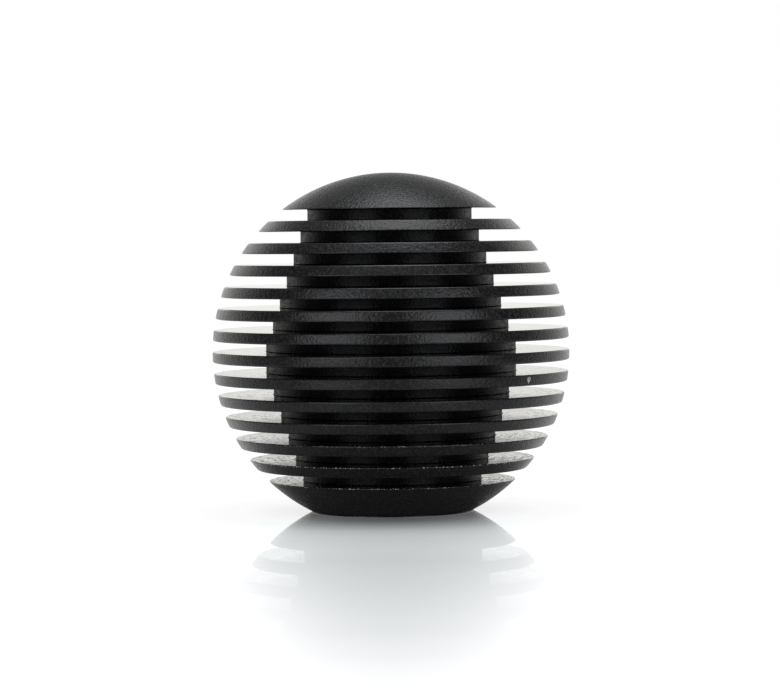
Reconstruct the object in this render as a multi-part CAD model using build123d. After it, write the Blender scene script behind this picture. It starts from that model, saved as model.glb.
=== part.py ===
"""Finned ball knob for a gear lever: a turned body, and the thread adapter screwed into its underside.

Sizes are in millimetres. Z is the lever axis, pointing up to the dome, and the base face lies on Z = 0.
"""
import os
from math import sqrt

from build123d import *

# Ball
BALL_RADIUS = 25.0
BASE_RADIUS = 11.35  # flat base face
BASE_LAND = 0.12  # height of the straight wall over the base face

# Cooling fins, stacked up and down from the middle fin
UPPER_GROOVES = 7  # between the middle fin and the dome
LOWER_GROOVES = 6  # between the middle fin and the bottom cap
FIN_THICKNESS = 1.5
GROOVE_WIDTH = 1.53
MIDDLE_FIN_DROP = 0.55  # middle fin's mid-plane below the centre of the ball
CORE_RADIUS = 17.5  # floors of the two grooves beside the middle fin
CORE_STEP = 1.0  # drop in floor radius from each groove to the next one out

# Thread adapter, with plain walls where its threads are
ADAPTER_RADIUS = 8.0  # crest of the outer thread, M16
ADAPTER_LENGTH = 20.0
ADAPTER_RECESS = 0.6  # lower end of the adapter above the base face
LEVER_BORE_RADIUS = 5.32  # crest of the lever thread, M12 x 1.25
LEVER_LEAD_IN = 0.75  # chamfer where the lever enters
DRIVER_SLOT_WIDTH = 2.2
DRIVER_SLOT_DEPTH = 1.6

# Hole in the underside of the body
THREAD_CLEARANCE = 0.05  # radial, between the adapter and its hole
HOLE_CHAMFER = 0.7

# Worked out from the sizes above
BALL_CENTRE = BASE_LAND + sqrt(BALL_RADIUS**2 - BASE_RADIUS**2)
FIN_PITCH = FIN_THICKNESS + GROOVE_WIDTH
MIDDLE_FIN = BALL_CENTRE - MIDDLE_FIN_DROP
ADAPTER_SEAT = ADAPTER_RECESS + ADAPTER_LENGTH
OVERCUT = 1.0  # cutters reach this far past the surface


def turned(section):
    """Solid turned about Z from the corners (radius, height) of its half section."""
    outline = Polyline(*[(radius, 0, height) for radius, height in section], close=True)
    return revolve(make_face(outline), Axis.Z)


def disc(radius, low, high):
    """Plain disc about Z between two heights."""
    return Pos(0, 0, (low + high) / 2) * Cylinder(radius, high - low)


def ball_radius_at(height):
    """Radius of the ball's section at a height."""
    return sqrt(BALL_RADIUS**2 - (height - BALL_CENTRE) ** 2)


def grooves():
    """Lower wall, upper wall and floor radius of each groove, from the bottom cap up to the dome."""
    levels = []
    for place in range(-LOWER_GROOVES, UPPER_GROOVES):
        pitches = place + 0.5
        middle = MIDDLE_FIN + pitches * FIN_PITCH
        floor = CORE_RADIUS - (abs(pitches) - 0.5) * CORE_STEP
        levels.append((middle - GROOVE_WIDTH / 2, middle + GROOVE_WIDTH / 2, floor))
    return levels


def fin_stack():
    """Stepped core with its fins, whose rim corners lie on the ball."""
    levels = grooves()
    section = [(0, levels[0][0])]
    for low, high, floor in levels:
        section += [(ball_radius_at(low), low), (floor, low), (floor, high), (ball_radius_at(high), high)]
    section.append((0, levels[-1][1]))
    return turned(section)


def ball_ends():
    """Dome and bottom cap, with the base. The poles of the ball's surface lie sideways, clear of them."""
    levels = grooves()
    ball = Pos(0, 0, BALL_CENTRE) * Sphere(BALL_RADIUS, rotation=(90, 0, 0))
    reach = BALL_RADIUS + OVERCUT
    middle = disc(reach, levels[0][0], levels[-1][1])
    below_cap = disc(reach, -reach, BASE_LAND / 2)
    base = disc(BASE_RADIUS, 0, 2 * BASE_LAND)
    return ball - middle - below_cap + base


def adapter_hole():
    """Cutter for the adapter's hole, flat at the bottom where the adapter seats."""
    radius = ADAPTER_RADIUS + THREAD_CLEARANCE
    mouth = radius + HOLE_CHAMFER
    section = [
        (0, -OVERCUT),
        (mouth, -OVERCUT),
        (mouth, 0),
        (radius, HOLE_CHAMFER),
        (radius, ADAPTER_SEAT),
        (0, ADAPTER_SEAT),
    ]
    return turned(section)


def knob_body():
    """Ball turned from one bar: dome, fins on a stepped core, bottom cap and the hole for the adapter."""
    return ball_ends() + fin_stack() - adapter_hole()


def thread_adapter():
    """Sleeve that takes the lever's thread, screwed home in its hole, with a driver slot in its lower end."""
    mouth = LEVER_BORE_RADIUS + LEVER_LEAD_IN
    section = [
        (mouth, ADAPTER_RECESS),
        (ADAPTER_RADIUS, ADAPTER_RECESS),
        (ADAPTER_RADIUS, ADAPTER_SEAT),
        (LEVER_BORE_RADIUS, ADAPTER_SEAT),
        (LEVER_BORE_RADIUS, ADAPTER_RECESS + LEVER_LEAD_IN),
    ]
    slot_length = 2 * (ADAPTER_RADIUS + OVERCUT)
    slot = Box(slot_length, DRIVER_SLOT_WIDTH, 2 * DRIVER_SLOT_DEPTH)
    return turned(section) - Pos(0, 0, ADAPTER_RECESS) * slot


os.makedirs("parts", exist_ok=True)
export_step(knob_body(), "parts/knob_body.step")
export_step(thread_adapter(), "parts/thread_adapter.step")
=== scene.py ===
"""Looks of a black finned ball gear knob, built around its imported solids. Lengths are in metres."""
import math
from collections import namedtuple

import bmesh
import bpy
from mathutils import Matrix, Vector


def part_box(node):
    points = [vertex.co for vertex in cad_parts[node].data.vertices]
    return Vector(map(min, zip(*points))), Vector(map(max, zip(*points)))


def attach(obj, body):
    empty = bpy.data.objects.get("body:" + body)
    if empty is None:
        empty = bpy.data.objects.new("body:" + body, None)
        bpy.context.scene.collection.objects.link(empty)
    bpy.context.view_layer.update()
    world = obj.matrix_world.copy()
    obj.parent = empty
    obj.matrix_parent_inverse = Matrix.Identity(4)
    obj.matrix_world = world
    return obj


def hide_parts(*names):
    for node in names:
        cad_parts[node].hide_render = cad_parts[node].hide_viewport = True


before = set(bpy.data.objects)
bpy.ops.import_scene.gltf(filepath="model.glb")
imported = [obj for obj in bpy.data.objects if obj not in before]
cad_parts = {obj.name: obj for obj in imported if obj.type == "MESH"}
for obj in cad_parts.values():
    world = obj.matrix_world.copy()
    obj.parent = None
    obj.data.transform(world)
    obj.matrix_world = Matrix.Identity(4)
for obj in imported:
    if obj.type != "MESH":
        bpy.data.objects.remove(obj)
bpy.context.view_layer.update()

MM = 0.001
WHITE = (1, 1, 1, 1)

# The knob, as in the part's source
BALL_RADIUS = 25.0 * MM
BASE_RADIUS = 11.35 * MM
UPPER_GROOVES = 7
LOWER_GROOVES = 6
FIN_THICKNESS = 1.5 * MM
GROOVE_WIDTH = 1.53 * MM
MIDDLE_FIN_DROP = 0.55 * MM
CORE_RADIUS = 17.5 * MM
CORE_STEP = 1.0 * MM
ADAPTER_RADIUS = 8.0 * MM
THREAD_CLEARANCE = 0.05 * MM
HOLE_CHAMFER = 0.7 * MM
LEVER_BORE_RADIUS = 5.32 * MM
LEVER_LEAD_IN = 0.75 * MM
DRIVER_SLOT_WIDTH = 2.2 * MM
DRIVER_SLOT_DEPTH = 1.6 * MM

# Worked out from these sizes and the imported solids
BALL_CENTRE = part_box("knob_body")[1].z - BALL_RADIUS
BASE_LAND = BALL_CENTRE - math.sqrt(BALL_RADIUS**2 - BASE_RADIUS**2)
FIN_PITCH = FIN_THICKNESS + GROOVE_WIDTH
MIDDLE_FIN = BALL_CENTRE - MIDDLE_FIN_DROP
ADAPTER_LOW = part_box("thread_adapter")[0].z
ADAPTER_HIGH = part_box("thread_adapter")[1].z

# Fine form of the turned surfaces
RIM_BREAK = 0.24 * MM
FLOOR_FILLET = 0.12 * MM
BASE_BREAK = 0.04 * MM
ROUND_STEPS = 4
SHARP_TURN = math.radians(40)  # corners that turn more than this stay sharp
AROUND = 256
DOME_STEPS = 26
CAP_STEPS = 10
RIM_STEPS = 2

# Small chip in the rim of the fin below the middle one
CHIP_GROOVE = UPPER_GROOVES  # the groove above that fin
CHIP_AZIMUTH = 48.9  # degrees to the right of the front
CHIP_ANGLE = math.radians(CHIP_AZIMUTH - 90)
CHIP_RAISE = 0.05 * MM  # above the middle of the fin
CHIP_HEIGHT = MIDDLE_FIN - FIN_PITCH + CHIP_RAISE
CHIP_HALF_WIDTH = 0.4 * MM
CHIP_HALF_HEIGHT = 0.5 * MM
CHIP_DEPTH = 0.07 * MM
CHIP_BOWL = 0.7  # how steeply it falls away from its edge, less being steeper
CHIP_LEAN = 0.15  # sideways over its upper half
CHIP_FLARE = 0.55  # growth of its width towards the top
CHIP_BARE_FROM = 0.5  # share of its depth where it is fully bare
CHIP_LEAST_RADIUS = 0.9 * BALL_RADIUS  # only the rim lies farther out than this
CHIP_REACH = 1.9  # half widths over which the columns stand closer together
CHIP_COLUMNS = 16
CHIP_STEPS = 12

# Threads of the adapter
LEVER_PITCH = 1.25 * MM
LEVER_ROOT_RADIUS = 6.0 * MM
OUTER_PITCH = 1.5 * MM
OUTER_ROOT_RADIUS = 7.1 * MM
OUTER_CHAMFER = 0.5 * MM
CREST_FLAT = 0.125  # share of the pitch
ROOT_FLAT = 0.25  # share of the pitch
THREAD_COLUMNS = 96
THREAD_ROWS = 12  # for each turn of a thread
ADAPTER_SHARP_TURN = math.radians(25)
MERGE_DISTANCE = 1e-7
SLOT_OVERCUT = 1.0 * MM  # how far the slot's cutter reaches past the adapter at each end

# Roughness of the turned surfaces
BLASTED = 0.24
CORE_FINISH = 0.2
FACE_FINISH_HIGH = 0.015  # faces of the highest groove
FACE_FINISH_LOW = 0.12  # faces of the lowest groove
BASE_FINISH = 0.15
BLASTED_SPAN = (0.14, 0.24)  # from turned to blasted

# Black anodised aluminium. A span is where a value rises from none to all of its effect
OUTER_IOR = 1.6
CORE_IOR = 1.24
OUTER_HAZE = 0.0
CORE_HAZE = 0.3  # added roughness of the core where it is seen edge-on
HAZE_SPAN = (0.4, 0.9)  # from facing the viewer to edge-on
NOISE_SPAN = (0.3, 0.7)  # where most of a noise's values lie
GRAIN_SIZE = 0.36 * MM
DOME_GRAIN_SIZE = 0.34 * MM
DOME_RELIEF = 1.3  # depth of the grain on the dome, against the rest
DOME_BLEND = 0.01 * MM  # on each side of the dome's lower edge
GRAIN_DEPTH = 0.07 * MM
GRAIN_STRENGTH = (0.02, 1.0)  # on turned and on blasted surfaces
GRAIN_ROUGHNESS = (-0.06, 0.06)
SPECK_SPAN = (0.46, 0.62)
SPECK_COLORS = ((0.001, 0.001, 0.001, 1), (0.02, 0.02, 0.021, 1))  # between the specks and on them
CLOUD_SIZE = 3.0 * MM
CLOUD_ROUGHNESS = (0.0, 0.02)
RING_SIZE = 0.4 * MM
RING_STRETCH = 3 * MM  # length of the turning marks for each radian round the axis
RING_SPAN = (0.42, 0.66)
RING_ROUGHNESS = (-0.55, 1.55)  # as a share of the finish
# colour of the bare metal in the chip, and of the painted glints on the rubbed lower edges of the lowest
# grooves
BARE_METAL_AND_GLINT = (0.9, 0.9, 0.87, 1)
WORN_EDGE_GLINTS = (0.27, 0.67, 0.67)  # how bright the lower edges of the lowest grooves are, going down: rubbed bare metal with painted glints
WEAR_GLINT_SIZE = 0.3 * MM
WEAR_GLINT_SPAN = (0.56, 0.62)
CHIP_GRAIN_SIZE = 0.22 * MM
CHIP_BREAKUP = (-0.75, 0.25)  # added to the chip by its grain
CHIP_SPAN = (0.3, 0.8)

# Zinc plating
PLATING_COLORS = ((0.48, 0.48, 0.47, 1), (0.62, 0.62, 0.60, 1))
PLATING_CLOUD_SIZE = 2.5 * MM
PLATING_GRAIN_SIZE = 0.2 * MM
PLATING_ROUGHNESS = (0.22, 0.38)
PLATING_DEPTH = 0.01 * MM
PLATING_STRENGTH = 0.6

# Camera, fitted to the photograph's frame of 780 x 700 pixels
IMAGE_WIDTH = 780
FOCAL_PIXELS = 3256.5
SENSOR_WIDTH = 36.0
CAMERA_DISTANCE = 456.45 * MM
CAMERA_ABOVE_MIDDLE_FIN = 17.68 * MM
CAMERA_YAW = -0.0003
CAMERA_PITCH = 0.03719
CAMERA_ROLL = -0.0112
CLIP_START = 0.01
CLIP_END = 10

# Floor
FLOOR_RADIUS = 1.2
FLOOR_STEPS = 128
FLOOR_COLOR = (0.42, 0.42, 0.425, 1)
FLOOR_IOR = 1.8
FLOOR_ROUGHNESS = (0.03, 0.0)  # of its gloss, for other rays and for the camera's
FLOOR_GLOW = (0.66, 0.9)  # close to the object, where it is lower to paint a soft shadow, and farther off
GLOW_SPAN = (14 * MM, 34 * MM)
BESIDE_BASE = (0.86, 1.0)  # tint of the gloss beside the base, darker there as a painted shadow, and farther off
BESIDE_SPAN = (13 * MM, 21 * MM)
COOL_GLOW = (0.90, 0.985, 1.0, 1)
COOL_GLOSS = (0.93, 0.975, 1.0, 1)
COOL_FRONT = (-13 * MM, -8 * MM)  # the cool tint ends between these places along Y
COOL_SIDEWAYS = (0.5, 0.8)  # and between these shares of the way to the side

# Floor levels at distances in millimetres from the middle
MIRROR_REACH = 200 * MM
MIRROR_FADE = (
    (0, 0.89),
    (12, 0.89),
    (17, 0.865),
    (24, 0.72),
    (31, 0.59),
    (40, 0.51),
    (55, 0.465),
    (70, 0.465),
    (104, 0.385),
    (138, 0.285),
    (156, 0.205),
    (166, 0.15),
    (182, 0.07),
    (196, 0.0),
)
# Painted shade and light on the floor as rays other than the camera's see it: light under the base's edge,
# darkest in a ring just beyond it, where the lowest fins look, and lighter farther off
PAINTED_FLOOR_SHADE = (
    (0, 0.48),
    (15, 0.48),
    (20, 0.15),
    (27, 0.22),
    (36, 0.46),
    (51, 0.52),
    (70, 0.54),
    (200, 0.54),
)
FAR_FLOOR = ((0, 0), (14, 0), (33, 0.6), (45, 0.6), (85, 0.46), (200, 0.46))  # glow in the object's gloss
FAR_SPAN = (-35 * MM, 25 * MM)  # that glow begins and is full at these places along Y

# Narrowing of the mirror image
MIRROR_NARROWING = (500.0, 1250.0)  # loss over the square of the distance to either side, near and far
NARROWING_SPAN = (40 * MM, 140 * MM)  # what counts as near and far
NARROWING_SIDEWAYS = (0.6, 1.0)  # it ends between these shares of the way to the side
MIRROR_FROM_ABOVE = (0.15, 1.0)  # share of the mirror image seen from above and along the floor
FROM_ABOVE_SPAN = (0.45, 0.83)

# Studio: level of the light over the sine of its elevation, in front and behind
FRONT_SKY = ((0.0, 0.12), (0.4, 0.12), (0.62, 0.2), (0.8, 0.42), (0.92, 0.4), (1.0, 0.48))
FRONT_TINT = (0.97, 0.99, 1.03)
BACKDROP = ((0.0, 1.0), (0.1, 1.0))
BACKDROP_TINT = (1.0, 0.99, 0.96)
BACK_SKY = (
    (0.2, 0.52),
    (0.31, 0.34),
    (0.5, 0.23),
    (0.66, 0.16),
    (0.75, 0.19),
    (0.85, 0.36),
    (0.95, 0.6),
    (1.0, 0.6),
)
BACK_TINT = (0.985, 1.0, 0.995)
FRONT_UP_TO = 0.1  # the light in front begins to give way here, as a share of the way back
BACK_FROM = (0.9, 0.6)  # how far back the light in front reaches, low down and high up
BACK_FROM_SPAN = (0.3, 0.6)  # sines of the elevation that count as low down and high up
FRONT_DROP = 0.8  # how far the light in front sinks to the sides
BACK_RISE = 0.85  # how far the backdrop rises at its two sides
BACK_TURN = 0.08  # how much more it rises on the right than on the left

# Softboxes: azimuth from the camera's side and elevation in degrees, lengths in metres, level of light
Softbox = namedtuple("Softbox", "azimuth elevation distance width height level")
SOFTBOXES = {
    "softbox_left": Softbox(-38, 19.5, 0.9, 0.6, 0.62, 1.1),
    "softbox_right": Softbox(38, 17.5, 0.9, 0.6, 0.56, 1.2),
    "softbox_top": Softbox(-26, 98.5, 0.75, 0.46, 0.5, 1.5),
}


def add_object(name, data):
    """Object of a mesh, light or camera, in the scene."""
    made = bpy.data.objects.new(name, data)
    bpy.context.scene.collection.objects.link(made)
    return made


# Section of the body

Corner = namedtuple("Corner", "radius height finish rounding worn core", defaults=(0.0, 0.0, False))
Point = namedtuple("Point", "radius height finish worn core")


def ball_radius_at(height):
    """Radius of the ball's section at a height."""
    return math.sqrt(BALL_RADIUS**2 - (height - BALL_CENTRE) ** 2)


def groove_levels():
    """Lower wall, upper wall and floor radius of each groove, from the dome down to the bottom cap."""
    levels = []
    for place in range(UPPER_GROOVES - 1, -LOWER_GROOVES - 1, -1):
        pitches = place + 0.5
        middle = MIDDLE_FIN + pitches * FIN_PITCH
        floor = CORE_RADIUS - (abs(pitches) - 0.5) * CORE_STEP
        levels.append((middle - GROOVE_WIDTH / 2, middle + GROOVE_WIDTH / 2, floor))
    return levels


def ball_arc(high, low, steps):
    """Section corners on the ball between two heights, without its ends."""
    start = math.asin((high - BALL_CENTRE) / BALL_RADIUS)
    end = math.asin((low - BALL_CENTRE) / BALL_RADIUS)
    corners = []
    for step in range(1, steps):
        angle = start + (end - start) * step / steps
        radius = BALL_RADIUS * math.cos(angle)
        height = BALL_CENTRE + BALL_RADIUS * math.sin(angle)
        corners.append(Corner(radius, height, BLASTED))
    return corners


def groove_corners(low, high, floor, face, worn):
    """Section corners of one groove, from its upper edge round its floor to its lower edge."""
    return [
        Corner(ball_radius_at(high), high, face, RIM_BREAK),
        Corner(floor, high, CORE_FINISH, FLOOR_FILLET, core=True),
        Corner(floor, low, face, FLOOR_FILLET, core=True),
        Corner(ball_radius_at(low), low, BLASTED, RIM_BREAK, worn),
    ]


def base_corners():
    """Section corners of the base and of the hole in it, ending on the axis."""
    hole = ADAPTER_RADIUS + THREAD_CLEARANCE
    return [
        Corner(BASE_RADIUS, BASE_LAND, BLASTED),
        Corner(BASE_RADIUS, 0.0, BASE_FINISH, BASE_BREAK),
        Corner(hole + HOLE_CHAMFER, 0.0, BASE_FINISH),
        Corner(hole, HOLE_CHAMFER, BASE_FINISH),
        Corner(hole, ADAPTER_HIGH, BASE_FINISH),
        Corner(0.0, ADAPTER_HIGH, BASE_FINISH),
    ]


def body_section():
    """Corners of the half section from the pole down, each with the finish of the stretch after it."""
    levels = groove_levels()
    last = len(levels) - 1
    # light flecks on the lower edges of the lowest grooves: rubbed bare metal with painted glints
    wear_glint = [0.0] * (len(levels) - len(WORN_EDGE_GLINTS)) + list(WORN_EDGE_GLINTS)
    top = BALL_CENTRE + BALL_RADIUS
    corners = [Corner(0.0, top, BLASTED)]
    corners += ball_arc(top, levels[0][1], DOME_STEPS)
    for index, (low, high, floor) in enumerate(levels):
        face = FACE_FINISH_HIGH + (FACE_FINISH_LOW - FACE_FINISH_HIGH) * (index / last) ** 2
        corners += groove_corners(low, high, floor, face, wear_glint[index])
        if index < last:
            steps = CHIP_STEPS if index == CHIP_GROOVE else RIM_STEPS
            corners += ball_arc(low, levels[index + 1][1], steps)
    corners += ball_arc(levels[last][0], BASE_LAND, CAP_STEPS)
    return corners + base_corners()


def rounded(corners):
    """Section points along the corners, with their roundings."""
    points = []
    for index, corner in enumerate(corners):
        if corner.rounding == 0.0:
            points.append(Point(corner.radius, corner.height, corner.finish, 0.0, corner.core))
            continue
        before = corners[index - 1]
        after = corners[index + 1]
        middle = Vector(corner[:2])
        onward = (middle - Vector(before[:2])).normalized()
        leaving = (Vector(after[:2]) - middle).normalized()
        turn = onward.angle(leaving)
        aside = (leaving - onward * math.cos(turn)) / math.sin(turn)
        radius = corner.rounding / math.tan(turn / 2)
        for step in range(ROUND_STEPS + 1):
            part = step / ROUND_STEPS
            along = math.sin(turn * part)
            across = 1 - math.cos(turn * part)
            place = middle - onward * corner.rounding + radius * (along * onward + across * aside)
            finish = before.finish + (corner.finish - before.finish) * part
            worn = corner.worn if 0 < step < ROUND_STEPS else 0.0
            points.append(Point(place.x, place.y, finish, worn, corner.core))
    return points


def section_normals(points):
    """Outward normals (radial, axial) at the start and end of each stretch of a section.

    They turn smoothly from stretch to stretch, led by the longer one, except at sharp corners.
    """
    runs = [Vector(after[:2]) - Vector(before[:2]) for before, after in zip(points, points[1:])]
    flats = [Vector((-run.y, run.x)).normalized() for run in runs]
    pairs = []
    for index, (run, flat) in enumerate(zip(runs, flats)):
        pair = []
        for other in (index - 1, index + 1):
            if not 0 <= other < len(runs):
                pair.append(Vector((0.0, math.copysign(1.0, flat.y))))
            elif flat.angle(flats[other]) > SHARP_TURN:
                pair.append(flat)
            else:
                led = flat * run.length_squared + flats[other] * runs[other].length_squared
                pair.append(led.normalized())
        pairs.append(pair)
    return pairs


# Mesh of the body

def column_angles():
    """Angles of the lathe's columns: even all round, and closer together across the chip."""
    reach = CHIP_REACH * CHIP_HALF_WIDTH / BALL_RADIUS
    close = [CHIP_ANGLE + reach * (2 * k / CHIP_COLUMNS - 1) for k in range(CHIP_COLUMNS + 1)]
    even = [CHIP_ANGLE + 2 * math.pi * k / AROUND for k in range(AROUND)]
    return close + [angle for angle in even if close[-1] < angle < close[0] + 2 * math.pi]


def chip_depth(angle, point):
    """How far the chip pushes in the surface at an angle of a section point."""
    if point.radius <= CHIP_LEAST_RADIUS or abs(point.height - CHIP_HEIGHT) >= FIN_THICKNESS:
        return 0.0
    across = (angle - CHIP_ANGLE) * BALL_RADIUS / CHIP_HALF_WIDTH
    along = (point.height - CHIP_HEIGHT) / CHIP_HALF_HEIGHT
    reach = math.hypot((across - CHIP_LEAN * along) / (1.0 + CHIP_FLARE * along), along)
    return CHIP_DEPTH * max(0.0, 1.0 - reach**2) ** CHIP_BOWL


def turned_rings(points, angles):
    """Vertex numbers in the ring of each section point, and the places and surface marks of all vertices."""
    rings = []
    places = []
    marks = {"finish": [], "worn_edge_glint": [], "chip": []}
    for point in points:
        ring_angles = angles if point.radius > 0.0 else angles[:1]
        rings.append([len(places) + k for k in range(len(ring_angles))])
        for angle in ring_angles:
            depth = chip_depth(angle, point)
            inner = point.radius - depth
            places.append((inner * math.cos(angle), inner * math.sin(angle), point.height))
            marks["finish"].append(point.finish)
            marks["worn_edge_glint"].append(point.worn)
            marks["chip"].append(min(1.0, depth / (CHIP_BARE_FROM * CHIP_DEPTH)))
    return rings, places, marks


def turned_faces(points, angles, rings, chips):
    """Faces between the rings, the normals of their corners, and their materials: 1 on the core, else 0.

    Corners are kept by vertex, so a face at the axis is a triangle. An empty normal in the chip is worked
    out from its faces.
    """
    faces = []
    normals = []
    materials = []
    for index, (start, end) in enumerate(section_normals(points)):
        on_core = points[index].core and points[index + 1].core
        for k in range(len(angles)):
            after = (k + 1) % len(angles)
            around = ((index, k, start), (index + 1, k, end), (index + 1, after, end), (index, after, start))
            corners = {}
            for ring, column, normal in around:
                vertex = rings[ring][column % len(rings[ring])]
                out = Vector((math.cos(angles[column]), math.sin(angles[column]), 0.0)) * normal.x
                corners[vertex] = out + Vector((0.0, 0.0, normal.y)) if chips[vertex] == 0.0 else Vector()
            faces.append(list(corners))
            normals += corners.values()
            materials.append(1 if on_core else 0)
    return faces, normals, materials


def lathe(name, points):
    """Closed mesh turned about Z, with one vertex where its section meets the axis."""
    angles = column_angles()
    rings, places, marks = turned_rings(points, angles)
    faces, normals, materials = turned_faces(points, angles, rings, marks["chip"])
    mesh = bpy.data.meshes.new(name)
    mesh.from_pydata(places, [], faces)
    mesh.shade_smooth()
    mesh.normals_split_custom_set(normals)
    mesh.polygons.foreach_set("material_index", materials)
    for label, values in marks.items():
        mesh.attributes.new(label, "FLOAT", "POINT").data.foreach_set("value", values)
    return mesh


# Mesh of the adapter

def thread_height(phase):
    """Height of a thread over its root, from 0 to 1, at a part of its pitch."""
    from_crest = abs((phase + 0.5) % 1.0 - 0.5) * 2
    root = 1.0 - ROOT_FLAT
    return max(0.0, min(1.0, (root - from_crest) / (root - CREST_FLAT)))


def thread_grid(mesh, pitch, radius_at):
    """Columns of vertices over a threaded wall, whose rows follow the helix and stop at both ends."""
    rows = math.ceil((ADAPTER_HIGH - ADAPTER_LOW) / pitch + 1) * THREAD_ROWS
    columns = []
    for k in range(THREAD_COLUMNS + 1):
        turn = k / THREAD_COLUMNS
        angle = 2 * math.pi * turn
        column = []
        for row in range(rows + 1):
            on_helix = ADAPTER_LOW + (row / THREAD_ROWS + turn - 1) * pitch
            height = min(ADAPTER_HIGH, max(ADAPTER_LOW, on_helix))
            radius = radius_at(height, thread_height((height - ADAPTER_LOW) / pitch - turn))
            column.append(mesh.verts.new((radius * math.cos(angle), radius * math.sin(angle), height)))
        columns.append(column)
    return columns


def lever_wall(height, thread):
    """Radius of the lever thread, opened out by the lead-in at its lower end."""
    wall = LEVER_ROOT_RADIUS + (LEVER_BORE_RADIUS - LEVER_ROOT_RADIUS) * thread
    return max(wall, LEVER_BORE_RADIUS + LEVER_LEAD_IN - (height - ADAPTER_LOW))


def outer_wall(height, thread):
    """Radius of the outer thread, turned down at both ends."""
    wall = OUTER_ROOT_RADIUS + (ADAPTER_RADIUS - OUTER_ROOT_RADIUS) * thread
    to_end = min(height - ADAPTER_LOW, ADAPTER_HIGH - height)
    return min(wall, ADAPTER_RADIUS - OUTER_CHAMFER + to_end)


def mesh_data(name, mesh):
    """Mesh data from an editable mesh, which is then let go."""
    data = bpy.data.meshes.new(name)
    mesh.to_mesh(data)
    mesh.free()
    return data


def adapter_mesh(name):
    """Threaded sleeve, as a closed mesh."""
    mesh = bmesh.new()
    inner = thread_grid(mesh, LEVER_PITCH, lever_wall)
    outer = thread_grid(mesh, OUTER_PITCH, outer_wall)
    for k in range(THREAD_COLUMNS):
        for near, far in zip(zip(inner[k], inner[k][1:]), zip(inner[k + 1], inner[k + 1][1:])):
            mesh.faces.new((near[0], near[1], far[1], far[0]))
        for near, far in zip(zip(outer[k], outer[k][1:]), zip(outer[k + 1], outer[k + 1][1:])):
            mesh.faces.new((near[0], far[0], far[1], near[1]))
        mesh.faces.new((inner[k][0], inner[k + 1][0], outer[k + 1][0], outer[k][0]))
        mesh.faces.new((inner[k][-1], outer[k][-1], outer[k + 1][-1], inner[k + 1][-1]))
    bmesh.ops.remove_doubles(mesh, verts=mesh.verts, dist=MERGE_DISTANCE)
    return mesh_data(name, mesh)


def cut_slot(piece):
    """Driver slot along X in the lower end."""
    mesh = bmesh.new()
    size = (2 * (ADAPTER_RADIUS + SLOT_OVERCUT), DRIVER_SLOT_WIDTH, 2 * DRIVER_SLOT_DEPTH)
    bmesh.ops.create_cube(mesh, size=1.0, matrix=Matrix.Diagonal((*size, 1.0)))
    cutter = add_object("slot_cutter", mesh_data("slot_cutter", mesh))
    cutter.location.z = ADAPTER_LOW
    cut = piece.modifiers.new("slot", "BOOLEAN")
    cut.operation = "DIFFERENCE"
    cut.solver = "EXACT"
    cut.object = cutter
    bpy.context.view_layer.update()
    result = bpy.data.meshes.new_from_object(piece.evaluated_get(bpy.context.evaluated_depsgraph_get()))
    piece.modifiers.clear()
    piece.data = result
    bpy.data.objects.remove(cutter)


def smooth(piece, sharp_above):
    """Smooth shading, sharp above an angle, with normals that follow the larger faces."""
    piece.data.shade_smooth()
    piece.data.set_sharp_from_angle(angle=sharp_above)
    weighted = piece.modifiers.new("weighted_normals", "WEIGHTED_NORMAL")
    weighted.keep_sharp = True


# Shader nodes

def add(tree, kind, sockets=None, **settings):
    """Add a shader node, with its settings, and set or link its input sockets."""
    made = tree.nodes.new(kind)
    for name, value in settings.items():
        setattr(made, name, value)
    for name, value in (sockets or {}).items():
        fill(tree, made.inputs[name], value)
    return made


def fill(tree, socket, value):
    """Set an input socket to a value, or link it to an output socket."""
    if isinstance(value, bpy.types.NodeSocket):
        tree.links.new(value, socket)
    else:
        socket.default_value = value


def ranged(tree, value, low, high, to_low, to_high):
    """Value moved from one range to another and held at its ends."""
    sockets = {"Value": value, "From Min": low, "From Max": high, "To Min": to_low, "To Max": to_high}
    return add(tree, "ShaderNodeMapRange", sockets).outputs["Result"]


def share(tree, value, low, high):
    """How far a value lies between two others, from 0 to 1."""
    return ranged(tree, value, low, high, 0.0, 1.0)


def between(tree, factor, first, second):
    """Value between two others by a factor from 0 to 1."""
    return ranged(tree, factor, 0.0, 1.0, first, second)


def math_node(tree, operation, *values):
    """Arithmetic on one or two values."""
    return add(tree, "ShaderNodeMath", dict(enumerate(values)), operation=operation).outputs["Value"]


def noise(tree, place, size, detail=2.0, rough=0.5):
    """Noise whose grain has about a given size."""
    sockets = {"Vector": place, "Scale": 1.0 / size, "Detail": detail, "Roughness": rough}
    return add(tree, "ShaderNodeTexNoise", sockets).outputs["Fac"]


def blended(tree, factor, first, second):
    """Colour mixed from two by a factor."""
    made = add(tree, "ShaderNodeMix", data_type="RGBA")
    for name, value in (("Factor", factor), ("A", first), ("B", second)):
        fill(tree, [s for s in made.inputs if s.name == name and s.enabled][0], value)
    return [s for s in made.outputs if s.enabled][0]


def attribute(tree, name):
    """Value of a named mesh attribute."""
    return add(tree, "ShaderNodeAttribute", attribute_name=name).outputs["Fac"]


def coordinates(tree, vector):
    """X, Y and Z of a vector."""
    return add(tree, "ShaderNodeSeparateXYZ", {0: vector}).outputs


def length(tree, vector):
    """Length of a vector."""
    return add(tree, "ShaderNodeVectorMath", {0: vector}, operation="LENGTH").outputs["Value"]


def edge_on(tree):
    """How far a surface turns away from the viewer, from 0 to 1."""
    return add(tree, "ShaderNodeLayerWeight", {"Blend": 0.5}).outputs["Facing"]


def tinted(stops, tint=(1, 1, 1)):
    """Levels of a tint as colours, each with its place."""
    return [(position, [level * part for part in tint] + [1]) for position, level in stops]


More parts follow.
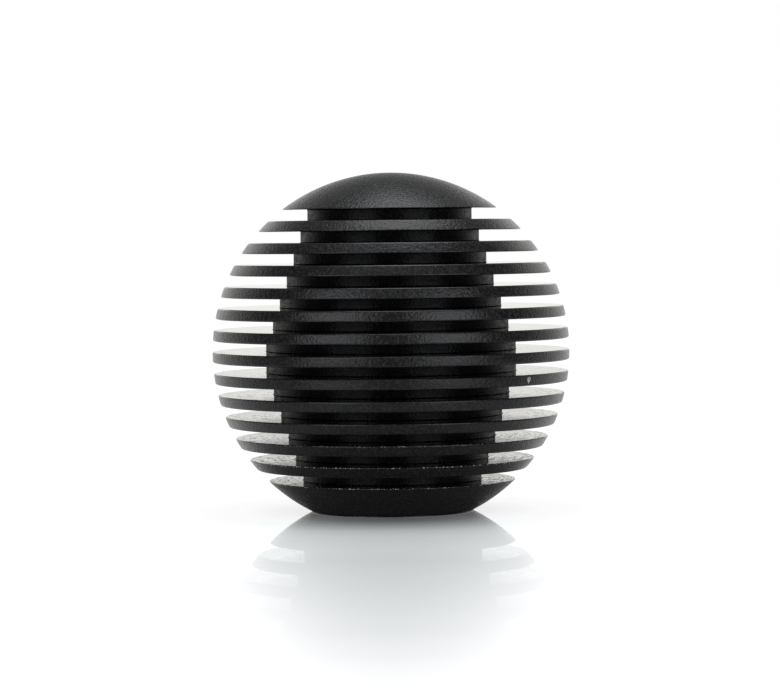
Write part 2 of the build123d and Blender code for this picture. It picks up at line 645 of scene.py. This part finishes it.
def over_distance(stops):
    """Levels at distances in millimetres, as greys over the reach of the mirror image."""
    return tinted([(distance * MM / MIRROR_REACH, level) for distance, level in stops])


def ramp_color(tree, value, stops):
    """Value led through colours at given places between 0 and 1."""
    ramp = add(tree, "ShaderNodeValToRGB", {"Fac": value})
    positions, colors = zip(*stops)
    elements = ramp.color_ramp.elements
    elements[0].position = positions[0]
    elements[1].position = positions[-1]
    for position in positions[1:-1]:
        elements.new(position)
    for element, color in zip(elements, colors):
        element.color = color
    return ramp.outputs["Color"]


def empty_material(name):
    """Material without nodes, and its node tree."""
    material = bpy.data.materials.new(name)
    material.use_nodes = True
    material.node_tree.nodes.clear()
    return material, material.node_tree


def show(tree, shader):
    """Make a shader the surface of its material."""
    add(tree, "ShaderNodeOutputMaterial", {"Surface": shader})


# Black anodised aluminium

def blasted_grain(tree, place):
    """Blasted grain, and its relief, which is deeper on the dome."""
    dome_low = groove_levels()[0][1]
    height = coordinates(tree, place)["Z"]
    on_dome = share(tree, height, dome_low - DOME_BLEND, dome_low + DOME_BLEND)
    grain = between(tree, on_dome, noise(tree, place, GRAIN_SIZE), noise(tree, place, DOME_GRAIN_SIZE))
    relief = math_node(tree, "MULTIPLY", grain, between(tree, on_dome, 1.0, DOME_RELIEF))
    return grain, relief


def bare_metal_and_glints(tree, place):
    """How far the colour is light: in flecks along the lowest rubbed edges, which are bare metal with
    painted glints, and in the chip, where the metal is bare.
    """
    flecks = share(tree, noise(tree, place, WEAR_GLINT_SIZE, rough=0.7), *WEAR_GLINT_SPAN)
    worn = math_node(tree, "MULTIPLY", flecks, attribute(tree, "worn_edge_glint"))
    breakup = ranged(tree, noise(tree, place, CHIP_GRAIN_SIZE), *NOISE_SPAN, *CHIP_BREAKUP)
    chip = math_node(tree, "ADD", attribute(tree, "chip"), breakup)
    return math_node(tree, "MAXIMUM", worn, share(tree, chip, *CHIP_SPAN))


def ring_marks(tree, place):
    """Noise drawn out round the axis, like the marks of turning."""
    x, y, z = coordinates(tree, place)
    flat = add(tree, "ShaderNodeCombineXYZ", {"X": x, "Y": y}).outputs["Vector"]
    turn = math_node(tree, "MULTIPLY", math_node(tree, "ARCTAN2", y, x), RING_STRETCH)
    unrolled = add(tree, "ShaderNodeCombineXYZ", {"X": length(tree, flat), "Y": turn, "Z": z})
    return noise(tree, unrolled.outputs["Vector"], RING_SIZE, detail=3.0, rough=0.7)


def anodised_roughness(tree, place, finish, blasted, grain, haze):
    """Finish with the marks of turning or of blasting, a faint cloud, and haze where it is seen edge-on."""
    marks = ranged(tree, ring_marks(tree, place), *RING_SPAN, *RING_ROUGHNESS)
    rings = math_node(tree, "MULTIPLY", marks, finish)
    grainy = ranged(tree, grain, *NOISE_SPAN, *GRAIN_ROUGHNESS)
    cloud = ranged(tree, noise(tree, place, CLOUD_SIZE), *NOISE_SPAN, *CLOUD_ROUGHNESS)
    texture = math_node(tree, "ADD", between(tree, blasted, rings, grainy), cloud)
    hazy = ranged(tree, edge_on(tree), *HAZE_SPAN, 0.0, haze)
    return math_node(tree, "ADD", math_node(tree, "ADD", finish, texture), hazy)


def anodised(name, ior, haze):
    """Black anodised aluminium with a fine blasted grain, smooth on the turned faces of the fins."""
    material, tree = empty_material(name)
    place = add(tree, "ShaderNodeTexCoord").outputs["Object"]
    finish = attribute(tree, "finish")
    blasted = share(tree, finish, *BLASTED_SPAN)
    grain, relief = blasted_grain(tree, place)
    black = blended(tree, share(tree, grain, *SPECK_SPAN), *SPECK_COLORS)
    # the chip is bare metal; the flecks on the lowest edges are painted glints on rubbed bare metal
    color = blended(tree, bare_metal_and_glints(tree, place), black, BARE_METAL_AND_GLINT)
    roughness = anodised_roughness(tree, place, finish, blasted, grain, haze)
    strength = between(tree, blasted, *GRAIN_STRENGTH)
    bump = add(tree, "ShaderNodeBump", {"Height": relief, "Strength": strength, "Distance": GRAIN_DEPTH})
    sockets = {"Base Color": color, "Roughness": roughness, "Normal": bump.outputs["Normal"], "IOR": ior}
    show(tree, add(tree, "ShaderNodeBsdfPrincipled", sockets).outputs["BSDF"])
    return material


# Plated steel

def plated(name):
    """Bright zinc plating over turned steel."""
    material, tree = empty_material(name)
    place = add(tree, "ShaderNodeTexCoord").outputs["Object"]
    grain = noise(tree, place, PLATING_GRAIN_SIZE, detail=3.0, rough=0.6)
    relief = {"Height": grain, "Strength": PLATING_STRENGTH, "Distance": PLATING_DEPTH}
    sockets = {
        "Base Color": blended(tree, noise(tree, place, PLATING_CLOUD_SIZE), *PLATING_COLORS),
        "Roughness": ranged(tree, grain, *NOISE_SPAN, *PLATING_ROUGHNESS),
        "Normal": add(tree, "ShaderNodeBump", relief).outputs["Normal"],
        "Metallic": 1.0,
    }
    show(tree, add(tree, "ShaderNodeBsdfPrincipled", sockets).outputs["BSDF"])
    return material


# Floor, which looks different to the camera's rays and to others

Spot = namedtuple("Spot", "x y distance reach sideways from_below camera_ray glossy_ray")


def floor_mesh():
    """Round floor, open under the base so that the underside is lit in views from below."""
    vertices = []
    faces = []
    for k in range(FLOOR_STEPS):
        angle = 2 * math.pi * k / FLOOR_STEPS
        for radius in (BASE_RADIUS - BASE_BREAK, FLOOR_RADIUS):
            vertices.append((radius * math.cos(angle), radius * math.sin(angle), 0.0))
        after = (k + 1) % FLOOR_STEPS
        faces.append((2 * k, 2 * k + 1, 2 * after + 1, 2 * after))
    mesh = bpy.data.meshes.new("floor")
    mesh.from_pydata(vertices, [], faces)
    return mesh


def floor_spot(tree):
    """Where a ray meets the floor, and which kind of ray it is."""
    geometry = add(tree, "ShaderNodeNewGeometry").outputs
    x, y, _ = coordinates(tree, geometry["Position"])
    distance = length(tree, geometry["Position"])
    rays = add(tree, "ShaderNodeLightPath").outputs
    return Spot(
        x=x,
        y=y,
        distance=distance,
        reach=share(tree, distance, 0.0, MIRROR_REACH),
        sideways=math_node(tree, "DIVIDE", math_node(tree, "ABSOLUTE", x), distance),
        from_below=geometry["Backfacing"],
        camera_ray=rays["Is Camera Ray"],
        glossy_ray=rays["Is Glossy Ray"],
    )


def mirror_share(tree, spot):
    """How much of the mirror image the camera sees: it fades and narrows with distance."""
    fade = ramp_color(tree, spot.reach, over_distance(MIRROR_FADE))
    narrowing = ranged(tree, spot.distance, *NARROWING_SPAN, *MIRROR_NARROWING)
    not_sideways = ranged(tree, spot.sideways, *NARROWING_SIDEWAYS, 1.0, 0.0)
    narrowing = math_node(tree, "MULTIPLY", narrowing, not_sideways)
    squared = math_node(tree, "MULTIPLY", spot.x, spot.x)
    narrowed = math_node(tree, "SUBTRACT", fade, math_node(tree, "MULTIPLY", squared, narrowing))
    from_above = ranged(tree, edge_on(tree), *FROM_ABOVE_SPAN, *MIRROR_FROM_ABOVE)
    return math_node(tree, "MULTIPLY", share(tree, narrowed, 0.0, 1.0), from_above)


def cool_share(tree, spot, mirrored):
    """How cool the mirror image is: only in front of the object and near the middle."""
    in_front = math_node(tree, "MULTIPLY", mirrored, ranged(tree, spot.y, *COOL_FRONT, 1.0, 0.0))
    return math_node(tree, "MULTIPLY", in_front, ranged(tree, spot.sideways, *COOL_SIDEWAYS, 1.0, 0.0))


def floor_glow(tree, spot, cool):
    """Glow that makes the floor white to the camera, weaker close to the object as a painted shadow, and
    lights the object's gloss from behind.
    """
    far = ramp_color(tree, spot.reach, over_distance(FAR_FLOOR))
    far = math_node(tree, "MULTIPLY", far, share(tree, spot.y, *FAR_SPAN))
    far = math_node(tree, "MULTIPLY", far, spot.glossy_ray)
    # weaker glow close to the object: a painted soft shadow
    near = ranged(tree, spot.distance, *GLOW_SPAN, *FLOOR_GLOW)
    strength = math_node(tree, "ADD", math_node(tree, "MULTIPLY", spot.camera_ray, near), far)
    tint = blended(tree, cool, WHITE, COOL_GLOW)
    return add(tree, "ShaderNodeEmission", {"Color": tint, "Strength": strength}).outputs["Emission"]


def floor_gloss(tree, spot, cool):
    """Gloss of the floor, sharp to the camera and a little darker beside the base as a painted shadow."""
    # darker gloss beside the base: a painted shadow
    beside = ranged(tree, spot.distance, *BESIDE_SPAN, *BESIDE_BASE)
    tint = blended(tree, cool, beside, COOL_GLOSS)
    roughness = between(tree, spot.camera_ray, *FLOOR_ROUGHNESS)
    return add(tree, "ShaderNodeBsdfAnisotropic", {"Color": tint, "Roughness": roughness}).outputs["BSDF"]


def floor_material(name):
    """White floor that shows the object's soft shadow, partly cast and partly painted, and, close to it, a
    fading mirror image.
    """
    material, tree = empty_material(name)
    spot = floor_spot(tree)
    mirrored = mirror_share(tree, spot)
    cool = cool_share(tree, spot, mirrored)
    # rays other than the camera's see the floor with painted shade round the base
    shade = ramp_color(tree, spot.reach, over_distance(PAINTED_FLOOR_SHADE))
    color = blended(tree, spot.camera_ray, shade, FLOOR_COLOR)
    lit = add(tree, "ShaderNodeBsdfDiffuse", {"Color": color}).outputs["BSDF"]
    white = add(tree, "ShaderNodeAddShader", {0: lit, 1: floor_glow(tree, spot, cool)}).outputs["Shader"]
    fresnel = add(tree, "ShaderNodeFresnel", {"IOR": FLOOR_IOR}).outputs["Fac"]
    glossy = between(tree, spot.camera_ray, fresnel, mirrored)
    above = {0: glossy, 1: white, 2: floor_gloss(tree, spot, cool)}
    top = add(tree, "ShaderNodeMixShader", above).outputs["Shader"]
    clear = add(tree, "ShaderNodeBsdfTransparent").outputs["BSDF"]
    show(tree, add(tree, "ShaderNodeMixShader", {0: spot.from_below, 1: top, 2: clear}).outputs["Shader"])
    return material


# Studio and camera

def studio_sky(tree):
    """Colour of the studio's light in each direction, from the front and from behind."""
    x, y, z = coordinates(tree, add(tree, "ShaderNodeTexCoord").outputs["Generated"])
    aside = math_node(tree, "ABSOLUTE", x)
    sunk = math_node(tree, "MULTIPLY", math_node(tree, "MULTIPLY", aside, aside), FRONT_DROP)
    rise_right = math_node(tree, "MULTIPLY", x, BACK_TURN)
    rise = math_node(tree, "ADD", math_node(tree, "MULTIPLY", aside, BACK_RISE), rise_right)
    front_place = math_node(tree, "SUBTRACT", z, sunk)
    back_place = math_node(tree, "SUBTRACT", z, math_node(tree, "MULTIPLY", rise, y))
    front = ramp_color(tree, front_place, tinted(FRONT_SKY, FRONT_TINT))
    back = ramp_color(tree, back_place, tinted(BACKDROP, BACKDROP_TINT) + tinted(BACK_SKY, BACK_TINT))
    back_from = ranged(tree, z, *BACK_FROM_SPAN, *BACK_FROM)
    return blended(tree, share(tree, y, FRONT_UP_TO, back_from), front, back)


def studio_world():
    """World that lights the object as a studio does, and is white to the camera and in sharp mirrors."""
    world = bpy.data.worlds.new("studio")
    world.use_nodes = True
    tree = world.node_tree
    tree.nodes.clear()
    rays = add(tree, "ShaderNodeLightPath").outputs
    seen = math_node(tree, "MAXIMUM", rays["Is Camera Ray"], rays["Is Singular Ray"])
    color = blended(tree, seen, studio_sky(tree), WHITE)
    background = add(tree, "ShaderNodeBackground", {"Color": color})
    add(tree, "ShaderNodeOutputWorld", {"Surface": background.outputs["Background"]})
    return world


def add_softbox(name, box):
    """Area light that faces the middle of the ball."""
    light = bpy.data.lights.new(name, "AREA")
    light.shape = "RECTANGLE"
    light.size = box.width
    light.size_y = box.height
    light.energy = box.level * math.pi * box.width * box.height
    light.color = FRONT_TINT
    side = math.radians(box.azimuth)
    rise = math.radians(box.elevation)
    outward = Vector((math.sin(side) * math.cos(rise), -math.cos(side) * math.cos(rise), math.sin(rise)))
    softbox = add_object(name, light)
    softbox.location = Vector((0, 0, BALL_CENTRE)) + box.distance * outward
    softbox.rotation_euler = outward.to_track_quat("Z", "Y").to_euler()


def add_camera(name):
    """Camera at the photograph's viewpoint, with its yaw, pitch and roll."""
    data = bpy.data.cameras.new(name)
    data.sensor_width = SENSOR_WIDTH
    data.lens = FOCAL_PIXELS * SENSOR_WIDTH / IMAGE_WIDTH
    data.clip_start = CLIP_START
    data.clip_end = CLIP_END
    forward = Vector((
        math.sin(CAMERA_YAW) * math.cos(CAMERA_PITCH),
        math.cos(CAMERA_YAW) * math.cos(CAMERA_PITCH),
        -math.sin(CAMERA_PITCH),
    ))
    right = forward.cross(Vector((0, 0, 1))).normalized()
    up = right.cross(forward)
    rolled_right = math.cos(CAMERA_ROLL) * right + math.sin(CAMERA_ROLL) * up
    rolled_up = math.cos(CAMERA_ROLL) * up - math.sin(CAMERA_ROLL) * right
    turn = Matrix((rolled_right, rolled_up, -forward)).transposed()
    place = Vector((0, -CAMERA_DISTANCE, MIDDLE_FIN + CAMERA_ABOVE_MIDDLE_FIN))
    camera = add_object(name, data)
    camera.matrix_world = Matrix.Translation(place) @ turn.to_4x4()
    return camera


# Pieces

body = add_object("finned_body", lathe("finned_body", rounded(body_section())))
body.data.materials.append(anodised("black_anodised", OUTER_IOR, OUTER_HAZE))
body.data.materials.append(anodised("black_anodised_core", CORE_IOR, CORE_HAZE))
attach(body, "root")
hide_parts("knob_body")

adapter = add_object("threaded_adapter", adapter_mesh("threaded_adapter"))
cut_slot(adapter)
smooth(adapter, ADAPTER_SHARP_TURN)
adapter.data.materials.append(plated("plated_steel"))
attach(adapter, "root")
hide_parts("thread_adapter")

# Scene

floor = add_object("floor", floor_mesh())
floor.data.materials.append(floor_material("floor"))

bpy.context.scene.world = studio_world()
for name, box in SOFTBOXES.items():
    add_softbox(name, box)
bpy.context.scene.camera = add_camera("camera")

bpy.context.scene.view_settings.view_transform = "Standard"
